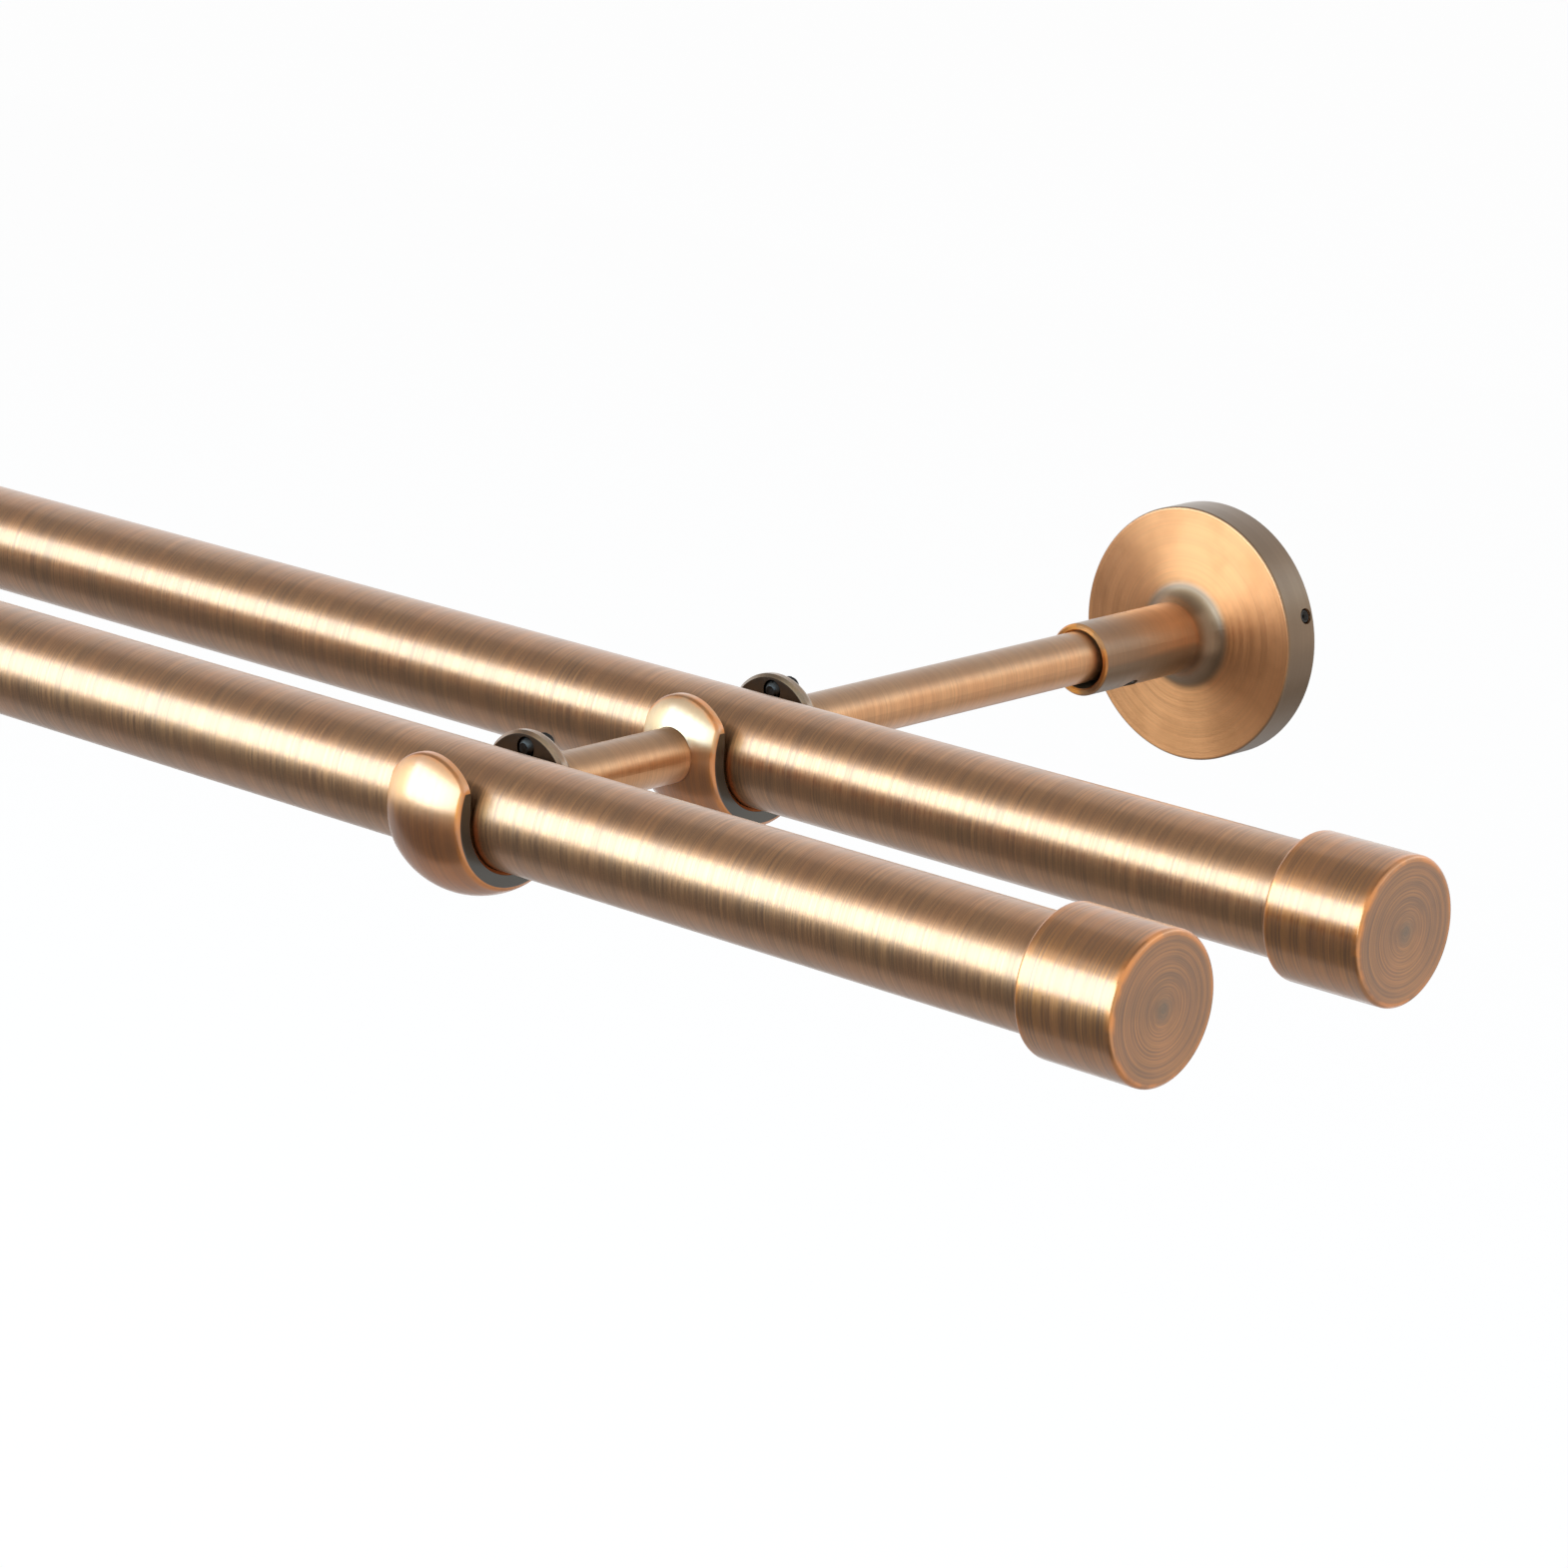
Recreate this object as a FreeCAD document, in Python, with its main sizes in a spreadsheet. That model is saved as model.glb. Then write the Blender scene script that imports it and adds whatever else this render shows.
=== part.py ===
import FreeCAD, Part
import math
import os
import Sketcher

# Double curtain pole: two tubes lie in ball-shaped cups on the arms of two wall brackets.
# Millimetres. The wall is the plane y = 0, the room is on its negative side, +Z is up,
# and the origin is midway between the two wall roses, on their common axis height.

# Driving sizes: name, value, what it measures
SIZES = [
    ("pole_dia", 20.0, "outside of both tubes"),
    ("pole_wall", 1.2, "tube wall"),
    ("pole_length", 1000.0, "length of both tubes"),
    ("pole_spacing", 62.0, "front pole axis to rear pole axis"),
    ("front_reach", 200.0, "wall to front pole axis"),
    ("bracket_inset", 144.6, "tube end to the middle of a bracket"),
    ("cap_dia", 25.4, "outside of an end cap"),
    ("cap_length", 19.4, "whole length of an end cap"),
    ("cap_end_wall", 3.4, "thickness of the cap's end"),
    ("cap_edge_round", 0.8, "rounding of the cap's outer edges"),
    ("cap_mouth_chamfer", 0.4, "bevel at the mouth of the cap's bore"),
    ("arm_dia", 10.0, "both arm rods"),
    ("arm_end_chamfer", 0.4, "bevel at the rod ends"),
    ("arm_insert", 30.0, "length of the rear arm inside the hub"),
    ("ball_dia", 32.4, "ball that the cup is turned from"),
    ("ball_width", 17.5, "cup between its two flat sides"),
    ("ball_edge_round", 1.2, "rounding between ball and flat sides"),
    ("slot_play", 0.45, "slot radius over pole radius"),
    ("slot_chamfer", 0.6, "bevel of the slot at the flat sides and lips"),
    ("lip_radius", 10.4, "rounded top of the lips, about the arm axis"),
    ("lip_shoulder_round", 4.5, "rounding where the lips' top runs into the flat sides"),
    ("lip_shoulder_over", 0.1, "shoulder rounding past the flat sides"),
    ("lip_edge_round", 1.0, "rounding of the lips' outer edges"),
    ("socket_floor", 14.0, "ball centre to the floor of an arm socket"),
    ("clamp_height", 7.4, "clamp screw above the ball centre"),
    ("clamp_proud", 0.5, "clamp screw's tip past the slot wall"),
    ("clamp_length", 6.0, "length of the clamp screw"),
    ("rose_dia", 50.0, "wall rose"),
    ("rose_depth", 8.0, "wall to the edge of the rose's face"),
    ("rose_wall", 2.4, "rim and face thickness of the rose"),
    ("rose_face_rise", 0.9, "rise of the face from rim to hub"),
    ("rose_edge_round", 0.5, "rounding between face and rim"),
    ("rose_turn", 17.0, "degrees that the rose is turned on the wall"),
    ("hub_dia", 14.0, "outside of the hub"),
    ("hub_reach", 41.1, "wall to the hub's mouth"),
    ("hub_fillet", 4.0, "hollow fillet between face and hub"),
    ("hub_play", 0.6, "hub bore radius over arm radius"),
    ("hub_mouth_chamfer", 0.35, "bevels at the hub's mouth"),
    ("hub_screw_inset", 11.0, "hub mouth to the hub's grub screw"),
    ("hub_screw_turn", 31.0, "degrees from straight down to the hub's grub screw"),
    ("rim_screw_inset", 2.0, "wall to the rim's grub screw"),
    ("plate_thickness", 5.0, "wall plate"),
    ("plate_play", 0.3, "gap between plate and rose rim"),
    ("plate_groove", 1.3, "depth of the V groove round the plate"),
    ("wall_hole_spacing", 26.0, "between the two wall screw holes"),
    ("wall_hole_dia", 4.5, "wall screw hole"),
    ("wall_sink_dia", 9.0, "countersink of the wall screw hole"),
    ("clamp_dia", 4.0, "grub screws of cups and hubs"),
    ("clamp_tip_dia", 2.0, "flat tip of these screws"),
    ("clamp_key", 2.0, "their socket across its flats"),
    ("clamp_key_depth", 1.2, "depth of their socket"),
    ("grub_dia", 3.0, "grub screws of rose rims and caps"),
    ("grub_tip_dia", 1.6, "flat tip of these screws"),
    ("grub_key", 1.5, "their socket across its flats"),
    ("grub_key_depth", 1.1, "depth of their socket"),
    ("grub_recess", 0.25, "sunk grub screws below the surface"),
    ("fix_dia", 4.0, "cup fixing screw"),
    ("fix_head_dia", 7.4, "head of the cup fixing screw"),
    ("fix_length", 12.0, "cup fixing screw with its head"),
    ("fix_key", 2.5, "fixing screw socket across its flats"),
    ("fix_key_depth", 1.3, "depth of the fixing screw socket"),
    ("fix_recess", 0.1, "fixing screw head below the slot wall"),
    ("tap_spare", 1.5, "tapped hole past the fixing screw's end"),
    ("seat_gap", 0.05, "gap where one piece lies on another"),
    ("thread_gap", 0.05, "gap between a screw and its hole"),
]

START_INDEX, END_INDEX, CENTRE_INDEX = 1, 2, 3
H_AXIS_INDEX, V_AXIS_INDEX = -1, -2
ORIGIN_POINT = (H_AXIS_INDEX, START_INDEX)
QUARTER_TURN, HALF_TURN, FULL_TURN = 90, 180, 360
COUNTERSINK_ANGLE = 90
BEVEL_TAPER_ANGLE = -45
TIE = 1e-4

doc = FreeCAD.newDocument("double_curtain_pole")
sheet = doc.addObject("Spreadsheet::Sheet", "sizes")
for row, (alias, value, meaning) in enumerate(SIZES, start=1):
    sheet.set(f"A{row}", meaning)
    sheet.set(f"B{row}", str(value))
    sheet.setAlias(f"B{row}", alias)
doc.recompute()


class Size:
    """A length that carries its number and the sheet formula it comes from."""

    def __init__(self, number, formula):
        self.number = number
        self.formula = formula

    def __add__(self, other):
        other = as_size(other)
        return Size(self.number + other.number, f"({self.formula} + {other.formula})")

    def __sub__(self, other):
        other = as_size(other)
        return Size(self.number - other.number, f"({self.formula} - {other.formula})")

    def __mul__(self, other):
        other = as_size(other)
        return Size(self.number * other.number, f"({self.formula} * {other.formula})")

    def __truediv__(self, other):
        other = as_size(other)
        return Size(self.number / other.number, f"({self.formula} / {other.formula})")

    def __neg__(self):
        return Size(-self.number, f"(-1 * {self.formula})")


def as_size(value):
    return value if isinstance(value, Size) else Size(float(value), str(value))


def size(alias):
    return Size(float(sheet.get(alias)), f"sizes.{alias}")


def root(value):
    return Size(math.sqrt(value.number), f"sqrt({value.formula})")


def sine(degrees):
    return Size(math.sin(math.radians(degrees.number)), f"sin({degrees.formula} * 1 deg)")


def cosine(degrees):
    return Size(math.cos(math.radians(degrees.number)), f"cos({degrees.formula} * 1 deg)")


# Sizes that several pieces share
pole_r = size("pole_dia") / 2
arm_r = size("arm_dia") / 2
ball_r = size("ball_dia") / 2
slot_r = pole_r + size("slot_play")
rose_r = size("rose_dia") / 2
hub_r = size("hub_dia") / 2
hub_bore_r = arm_r + size("hub_play")
cavity_r = rose_r - size("rose_wall")
cavity_depth = size("rose_depth") - size("rose_wall")
plate_r = cavity_r - size("plate_play")
cap_r = size("cap_dia") / 2
grub_hole_r = size("grub_dia") / 2 + size("thread_gap")
clamp_hole_r = size("clamp_dia") / 2 + size("thread_gap")
fix_r = size("fix_dia") / 2
fix_hole_r = fix_r + size("thread_gap")
fix_head_r = size("fix_head_dia") / 2
fix_head_depth = fix_head_r - fix_r
fix_head_place = slot_r + size("fix_recess")
arm_start = size("socket_floor") + size("seat_gap")
tap_depth = fix_head_place + size("fix_length") + size("tap_spare") - arm_start
cap_engage = size("cap_length") - size("cap_end_wall") - size("seat_gap")

# Places: the grub screw under the hub lifts the arm against the top of the bore,
# and each pole lies on the bottom of its slot
rear_reach = size("front_reach") - size("pole_spacing")
bracket_x = size("pole_length") / 2 - size("bracket_inset")
arm_lift = size("hub_play") - size("seat_gap")
arm_shift = -(arm_lift * sine(size("hub_screw_turn")))
arm_z = arm_lift * cosine(size("hub_screw_turn"))
pole_z = arm_z - size("slot_play") + size("seat_gap")

WAYS = {"left": -1, "right": 1}
LIPS = {"back_lip": -1, "front_lip": 1}
SIDES = {"left": -bracket_x, "right": bracket_x}
ROWS = {"rear": rear_reach, "front": size("front_reach")}


def turned(axis, degrees):
    """The formula of a rotation about one axis."""
    x, y, z = axis
    return f"rotation(vector({x}; {y}; {z}); {as_size(degrees).formula})"


# Rotations, written as formulas that multiply
ROSE_TURN = turned((0, 1, 0), -size("rose_turn"))
HUB_SCREW_TURN = turned((0, 1, 0), -size("hub_screw_turn"))
HUB_HOLE_TURN = turned((0, 1, 0), size("rose_turn") - size("hub_screw_turn"))
DOWN = turned((1, 0, 0), -QUARTER_TURN)
TO_RIGHT = turned((0, 0, 1), -QUARTER_TURN)
BACKWARDS = turned((0, 0, 1), HALF_TURN)
UNTURNED = turned((0, 0, 1), 0)
CAP_TURNS = {"left": BACKWARDS, "right": UNTURNED}


def bind(thing, setting, value):
    thing.setExpression(setting, value.formula)


def new_body(name):
    body = doc.addObject("PartDesign::Body", name)
    body.Label = name
    return body


def place(body, x=0, y=0, z=0, turn=UNTURNED):
    """Put a body at a place given by sheet sizes, turned as the rotation says."""
    base = "; ".join(as_size(value).formula for value in (x, y, z))
    body.setExpression("Placement", f"placement(vector({base}); {turn})")
    return body


def new_sketch(body, plane, name, lift, turn):
    """An empty sketch on one of the body's own planes, raised along its normal and turned."""
    sketch = body.newObject("Sketcher::SketchObject", f"{body.Name}_{name}")
    support = next(item for item in body.Origin.OriginFeatures if item.Role == plane)
    sketch.AttachmentSupport = [(support, "")]
    sketch.MapMode = "FlatFace"
    offset = f"placement(vector(0; 0; {as_size(lift).formula}); {turn})"
    sketch.setExpression("AttachmentOffset", offset)
    return sketch


def hold_point(sketch, edge, end, x, y):
    """Fix a sketch point to sheet sizes, or to an axis where a coordinate is 0."""
    for kind, axis, value in (("DistanceX", V_AXIS_INDEX, x), ("DistanceY", H_AXIS_INDEX, y)):
        if isinstance(value, Size):
            rule = Sketcher.Constraint(kind, *ORIGIN_POINT, edge, end, value.number)
            bind(sketch, f"Constraints[{sketch.addConstraint(rule)}]", value)
        else:
            sketch.addConstraint(Sketcher.Constraint("PointOnObject", edge, end, axis))


def hold_radius(sketch, edge, radius):
    rule = Sketcher.Constraint("Radius", edge, radius.number)
    bind(sketch, f"Constraints[{sketch.addConstraint(rule)}]", radius)


def point(x, y):
    return FreeCAD.Vector(as_size(x).number, as_size(y).number, 0)


def arc_between(first, last, radius):
    """The short arc that turns left from one point to the next."""
    chord = last - first
    left = FreeCAD.Vector(-chord.y, chord.x, 0).normalize()
    rise = math.sqrt(max(radius**2 - (chord.Length / 2) ** 2, 0))
    centre = (first + last) / 2 + left * rise
    angles = [math.atan2(end.y - centre.y, end.x - centre.x) for end in (first, last)]
    circle = Part.Circle(centre, FreeCAD.Vector(0, 0, 1), radius)
    return Part.ArcOfCircle(circle, angles[0], angles[1])


def draw_outline(body, plane, name, corners, lift=0):
    """A closed outline. A corner (x, y) is reached by a line, and (x, y, radius, way)
    by an arc, whose way is left or right."""
    sketch = new_sketch(body, plane, name, lift, UNTURNED)
    ends = []
    x, y, *arc = corners[-1]
    first = point(x, y)
    for x, y, *arc in corners:
        last = point(x, y)
        if not arc:
            sketch.addGeometry(Part.LineSegment(first, last))
            ends.append((START_INDEX, END_INDEX))
        elif arc[1] == "left":
            sketch.addGeometry(arc_between(first, last, arc[0].number))
            ends.append((START_INDEX, END_INDEX))
        else:
            sketch.addGeometry(arc_between(last, first, arc[0].number))
            ends.append((END_INDEX, START_INDEX))
        first = last
    for index, (x, y, *arc) in enumerate(corners):
        following = (index + 1) % len(corners)
        rule = Sketcher.Constraint("Coincident", index, ends[index][1], following, ends[following][0])
        sketch.addConstraint(rule)
        hold_point(sketch, index, ends[index][1], x, y)
        if arc:
            hold_radius(sketch, index, arc[0])
    return sketch


def draw_circles(body, plane, name, circles, lift=0, turn=UNTURNED):
    """Circles, each given by its centre and radius."""
    sketch = new_sketch(body, plane, name, lift, turn)
    for index, (x, y, radius) in enumerate(circles):
        circle = Part.Circle(point(x, y), FreeCAD.Vector(0, 0, 1), radius.number)
        sketch.addGeometry(circle)
        hold_point(sketch, index, CENTRE_INDEX, x, y)
        hold_radius(sketch, index, radius)
    return sketch


def draw_hexagon(body, plane, name, across, lift=0):
    """A regular hexagon, given by the distance across its flats."""
    corner_r = across / root(as_size(3))
    flat = across / 2
    half = corner_r / 2
    corners = [
        (corner_r, 0),
        (half, flat),
        (-half, flat),
        (-corner_r, 0),
        (-half, -flat),
        (half, -flat),
    ]
    return draw_outline(body, plane, name, corners, lift)


def add_feature(body, kind, sketch, name):
    feature = body.newObject(f"PartDesign::{kind}", f"{body.Name}_{name}")
    feature.Profile = sketch
    return feature


def revolve(body, sketch, name, axis="V_Axis"):
    feature = add_feature(body, "Revolution", sketch, name)
    feature.ReferenceAxis = (sketch, [axis])
    feature.Angle = FULL_TURN
    doc.recompute()
    return feature


def check_cut(body, before, feature):
    doc.recompute()
    if not feature.Shape.Volume < before - TIE:
        raise RuntimeError(f"{feature.Name} cuts nothing from {body.Label}")
    return feature


def groove(body, sketch, name, axis="V_Axis"):
    before = body.Tip.Shape.Volume
    feature = add_feature(body, "Groove", sketch, name)
    feature.ReferenceAxis = (sketch, [axis])
    feature.Angle = FULL_TURN
    return check_cut(body, before, feature)


def pocket(body, sketch, name, depth, reverse=False, both_ways=False, taper=0):
    before = body.Tip.Shape.Volume
    feature = add_feature(body, "Pocket", sketch, name)
    feature.Type = "Length"
    feature.SideType = "Symmetric" if both_ways else "One side"
    feature.Reversed = reverse
    feature.TaperAngle = taper
    bind(feature, "Length", depth)
    return check_cut(body, before, feature)


def edges_where(feature, wanted):
    names = [f"Edge{n}" for n, edge in enumerate(feature.Shape.Edges, start=1) if wanted(edge)]
    if not names:
        raise RuntimeError(f"{feature.Name} has none of the edges looked for")
    return names


def round_edges(body, name, radius, wanted):
    base = body.Tip
    feature = body.newObject("PartDesign::Fillet", f"{body.Name}_{name}")
    feature.Base = (base, edges_where(base, wanted))
    bind(feature, "Radius", radius)
    doc.recompute()
    return feature


def bevel_edges(body, name, width, wanted):
    base = body.Tip
    feature = body.newObject("PartDesign::Chamfer", f"{body.Name}_{name}")
    feature.Base = (base, edges_where(base, wanted))
    bind(feature, "Size", width)
    doc.recompute()
    return feature


def near(number, value):
    return abs(number - value.number) < TIE


def is_round(edge):
    return not edge.Degenerated and isinstance(edge.Curve, Part.Circle)


def is_circle(edge, radius):
    return is_round(edge) and near(edge.Curve.Radius, radius)


def make_pole(name, reach):
    """A plain round tube along X."""
    body = new_body(name)
    rings = [(0, 0, pole_r), (0, 0, pole_r - size("pole_wall"))]
    sketch = draw_circles(body, "YZ_Plane", "section", rings)
    tube = add_feature(body, "Pad", sketch, "tube")
    tube.SideType = "Symmetric"
    bind(tube, "Length", size("pole_length"))
    return place(body, y=-reach, z=pole_z)


def make_cap(name, end_x, reach, turn):
    """A turned cap over the tube's end. Its origin is the centre of that end."""
    body = new_body(name)
    bore_r = pole_r + size("seat_gap")
    floor = size("seat_gap")
    face = floor + size("cap_end_wall")
    outline = [
        (-cap_engage, bore_r),
        (floor, bore_r),
        (floor, 0),
        (face, 0),
        (face, cap_r),
        (-cap_engage, cap_r),
    ]
    revolve(body, draw_outline(body, "XY_Plane", "section", outline), "turned", "H_Axis")
    round_edges(body, "rim", size("cap_edge_round"), lambda edge: is_circle(edge, cap_r))
    bevel_edges(
        body,
        "mouth",
        size("cap_mouth_chamfer"),
        lambda edge: is_circle(edge, bore_r) and near(edge.Curve.Center.x, -cap_engage),
    )
    hole = draw_circles(body, "XY_Plane", "screw", [(-(cap_engage / 2), 0, grub_hole_r)])
    pocket(body, hole, "screw_hole", cap_r)
    return place(body, x=end_x, y=-reach, z=pole_z, turn=turn)


def make_wall_plate(name, x):
    """A steel disc with two countersunk wall holes and a V groove for the rim screw."""
    body = new_body(name)
    thickness = size("plate_thickness")
    middle = size("rim_screw_inset")
    depth = size("plate_groove")
    outline = [
        (0, 0),
        (plate_r, 0),
        (plate_r, depth - middle),
        (plate_r - depth, -middle),
        (plate_r, -(middle + depth)),
        (plate_r, -thickness),
        (0, -thickness),
    ]
    revolve(body, draw_outline(body, "XY_Plane", "section", outline), "disc")
    half = size("wall_hole_spacing") / 2
    hole_r = size("wall_hole_dia") / 2
    places = [(0, half, hole_r), (0, -half, hole_r)]
    holes = add_feature(
        body, "Hole", draw_circles(body, "XZ_Plane", "wall_holes", places, thickness), "wall_hole"
    )
    holes.DepthType = "ThroughAll"
    holes.HoleCutType = "Countersink"
    holes.HoleCutCustomValues = True
    holes.HoleCutCountersinkAngle = COUNTERSINK_ANGLE
    bind(holes, "Diameter", size("wall_hole_dia"))
    bind(holes, "HoleCutDiameter", size("wall_sink_dia"))
    doc.recompute()
    return place(body, x=x)


def make_rose(name, x):
    """Wall rose: rim, slightly raised face and long hub, turned from one piece."""
    body = new_body(name)
    depth = size("rose_depth")
    reach = size("hub_reach")
    face_top = depth + size("rose_face_rise")
    outline = [
        (cavity_r, 0),
        (cavity_r, -cavity_depth),
        (hub_bore_r, -cavity_depth),
        (hub_bore_r, -reach),
        (hub_r, -reach),
        (hub_r, -face_top),
        (rose_r, -depth),
        (rose_r, 0),
    ]
    revolve(body, draw_outline(body, "XY_Plane", "section", outline), "turned")
    round_edges(
        body,
        "hub_base",
        size("hub_fillet"),
        lambda edge: is_circle(edge, hub_r) and near(edge.Curve.Center.y, -face_top),
    )
    round_edges(
        body,
        "face_edge",
        size("rose_edge_round"),
        lambda edge: is_circle(edge, rose_r) and near(edge.Curve.Center.y, -depth),
    )
    bevel_edges(
        body,
        "mouth",
        size("hub_mouth_chamfer"),
        lambda edge: is_round(edge) and near(edge.Curve.Center.y, -reach),
    )
    hub_hole = [(0, size("hub_screw_inset") - reach, clamp_hole_r)]
    sketch = draw_circles(body, "XY_Plane", "hub_screw", hub_hole, turn=HUB_HOLE_TURN)
    pocket(body, sketch, "hub_hole", rose_r)
    rim_hole = [(-size("rim_screw_inset"), 0, grub_hole_r)]
    sketch = draw_circles(body, "YZ_Plane", "rim_screw", rim_hole)
    pocket(body, sketch, "rim_hole", size("rose_dia"), reverse=True)
    return place(body, x=x, turn=ROSE_TURN)


def make_arm(name, x, reach, length, tapped_far):
    """A rod along Y. Its origin is the centre of the cup that its front end enters."""
    body = new_body(name)
    bevel = size("arm_end_chamfer")
    far = arm_start + length
    outline = [
        (0, arm_start + tap_depth),
        (fix_hole_r, arm_start + tap_depth),
        (fix_hole_r, arm_start),
        (arm_r - bevel, arm_start),
        (arm_r, arm_start + bevel),
        (arm_r, far - bevel),
        (arm_r - bevel, far),
    ]
    if tapped_far:
        outline += [(fix_hole_r, far), (fix_hole_r, far - tap_depth), (0, far - tap_depth)]
    else:
        outline += [(0, far)]
    revolve(body, draw_outline(body, "XY_Plane", "section", outline), "rod")
    return place(body, x=x, y=-reach, z=arm_z)


def make_ball(body):
    """A ball with two flat sides, which face along the pole, and rounded edges between."""
    half = size("ball_width") / 2
    edge = size("ball_edge_round")
    inner_r = ball_r - edge
    flat_x = half - edge
    flat_r = root(inner_r * inner_r - flat_x * flat_x)
    ball_x = flat_x * ball_r / inner_r
    ball_z = flat_r * ball_r / inner_r
    outline = [
        (-half, 0),
        (-half, -flat_r),
        (-ball_x, -ball_z, edge, "left"),
        (ball_x, -ball_z, ball_r, "left"),
        (half, -flat_r, edge, "left"),
        (half, 0),
    ]
    revolve(body, draw_outline(body, "XZ_Plane", "section", outline), "ball", "H_Axis")


def cut_slot(body):
    """The U-shaped slot that the pole is laid into from above."""
    clear = size("ball_dia")
    outline = [
        (-slot_r, clear),
        (-slot_r, 0),
        (0, -slot_r, slot_r, "left"),
        (slot_r, 0, slot_r, "left"),
        (slot_r, clear),
    ]
    sketch = draw_outline(body, "YZ_Plane", "slot", outline)
    pocket(body, sketch, "slot_cut", clear * 2, both_ways=True)


def arch_outline(inset):
    """Top of the lips seen along the arm, drawn in by an inset: a part of a circle about
    the arm axis, with round shoulders down to the flat sides where it is wider than those."""
    lip_r = size("lip_radius") - inset
    edge_x = size("ball_width") / 2 + size("lip_shoulder_over") - inset
    if lip_r.number <= edge_x.number:
        return [(-lip_r, 0), (0, lip_r, lip_r, "right"), (lip_r, 0, lip_r, "right")]
    shoulder_r = size("lip_shoulder_round") - inset
    rest = lip_r - shoulder_r
    side = edge_x - shoulder_r
    height = root(rest * rest - side * side)
    top_x = side * lip_r / rest
    top_z = height * lip_r / rest
    return [
        (-edge_x, height),
        (-top_x, top_z, shoulder_r, "right"),
        (top_x, top_z, lip_r, "right"),
        (edge_x, height, shoulder_r, "right"),
    ]


def draw_lip_waste(body, name, inset, lift=0):
    """All that is outside the lips' arch, from just below the arm axis."""
    clear = size("ball_dia")
    foot = -size("slot_chamfer")
    arch = arch_outline(inset)
    outline = [
        (-clear, foot),
        (arch[0][0], foot),
        *arch,
        (arch[-1][0], foot),
        (clear, foot),
        (clear, clear),
        (-clear, clear),
    ]
    return draw_outline(body, "XZ_Plane", name, outline, lift)


def cut_lips(body):
    """Above the arm axis the two lips are rounded off about that axis."""
    clear = size("ball_dia")
    pocket(body, draw_lip_waste(body, "lips", as_size(0)), "lip_cut", clear * 2, both_ways=True)
    round_edges(body, "lip_edges", size("lip_edge_round"), on_lip_crest)


def on_lip_crest(edge):
    """True for the edges where the top of a lip meets the ball."""
    if edge.Degenerated:
        return False
    middle = edge.valueAt((edge.FirstParameter + edge.LastParameter) / 2)
    spots = [vertex.Point for vertex in edge.Vertexes] + [middle]
    on_top = all(near(math.hypot(spot.x, spot.z), size("lip_radius")) for spot in spots)
    return on_top and all(near(spot.Length, ball_r) for spot in spots)


def bevel_lips(body):
    """A bevel round the slot side of each lip, down to the arm axis."""
    width = size("slot_chamfer")
    for lip, way in LIPS.items():
        sketch = draw_lip_waste(body, f"{lip}_bevel", width, slot_r * way)
        pocket(body, sketch, f"{lip}_bevel_cut", width, reverse=way > 0, taper=BEVEL_TAPER_ANGLE)


def bevel_slot(body):
    """A bevel where the slot's round bottom meets each flat side."""
    half = size("ball_width") / 2
    width = size("slot_chamfer")
    for side, way in WAYS.items():
        outline = [
            ((half - width) * way, 0),
            ((half - width) * way, slot_r),
            ((half + width) * way, slot_r + width * 2),
            ((half + width) * way, 0),
        ]
        sketch = draw_outline(body, "XY_Plane", f"{side}_bevel", outline)
        groove(body, sketch, f"{side}_bevel_cut", "H_Axis")


def cut_arm_seat(body, name, way):
    """Stepped bore on the arm axis: screw head, screw and the arm's socket."""
    head_r = fix_head_r + size("thread_gap")
    socket_r = arm_r + size("seat_gap")
    cone_end = fix_head_place + head_r - fix_hole_r
    outline = [
        (0, 0),
        (head_r, 0),
        (head_r, fix_head_place * way),
        (fix_hole_r, cone_end * way),
        (fix_hole_r, size("socket_floor") * way),
        (socket_r, size("socket_floor") * way),
        (socket_r, ball_r * way),
        (0, ball_r * way),
    ]
    groove(body, draw_outline(body, "XY_Plane", name, outline), f"{name}_bore")


def make_cup(name, x, reach, seats):
    """A cup for one pole, with an arm seat at its back, and at its front where an arm goes on."""
    body = new_body(name)
    make_ball(body)
    cut_slot(body)
    cut_lips(body)
    bevel_lips(body)
    bevel_slot(body)
    for seat, way in seats.items():
        cut_arm_seat(body, seat, way)
    clamp = [(0, size("clamp_height"), clamp_hole_r)]
    pocket(body, draw_circles(body, "XZ_Plane", "clamp_screw", clamp), "clamp_hole", ball_r)
    return place(body, x=x, y=-reach, z=arm_z)


def make_grub_screw(name, kind, length):
    """A grub screw along +Y from its tip, with a hexagon socket in its far end."""
    body = new_body(name)
    screw_r = size(f"{kind}_dia") / 2
    tip_r = size(f"{kind}_tip_dia") / 2
    cone = screw_r - tip_r
    outline = [(0, 0), (tip_r, 0), (screw_r, cone), (screw_r, length), (0, length)]
    revolve(body, draw_outline(body, "XY_Plane", "section", outline), "turned")
    socket = draw_hexagon(body, "XZ_Plane", "socket", size(f"{kind}_key"), -length)
    pocket(body, socket, "key", size(f"{kind}_key_depth"), reverse=True)
    return body


def make_fixing_screw(name):
    """A countersunk screw along +Y from its head, with a hexagon socket in the head."""
    body = new_body(name)
    length = size("fix_length")
    outline = [(0, 0), (fix_head_r, 0), (fix_r, fix_head_depth), (fix_r, length), (0, length)]
    revolve(body, draw_outline(body, "XY_Plane", "section", outline), "turned")
    pocket(body, draw_hexagon(body, "XZ_Plane", "socket", size("fix_key")), "key", size("fix_key_depth"))
    return body


def group(name, screws):
    """Like screws share one sub-part, as separate solids."""
    compound = doc.addObject("Part::Compound", name)
    compound.Label = name
    compound.Links = screws
    return compound


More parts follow.
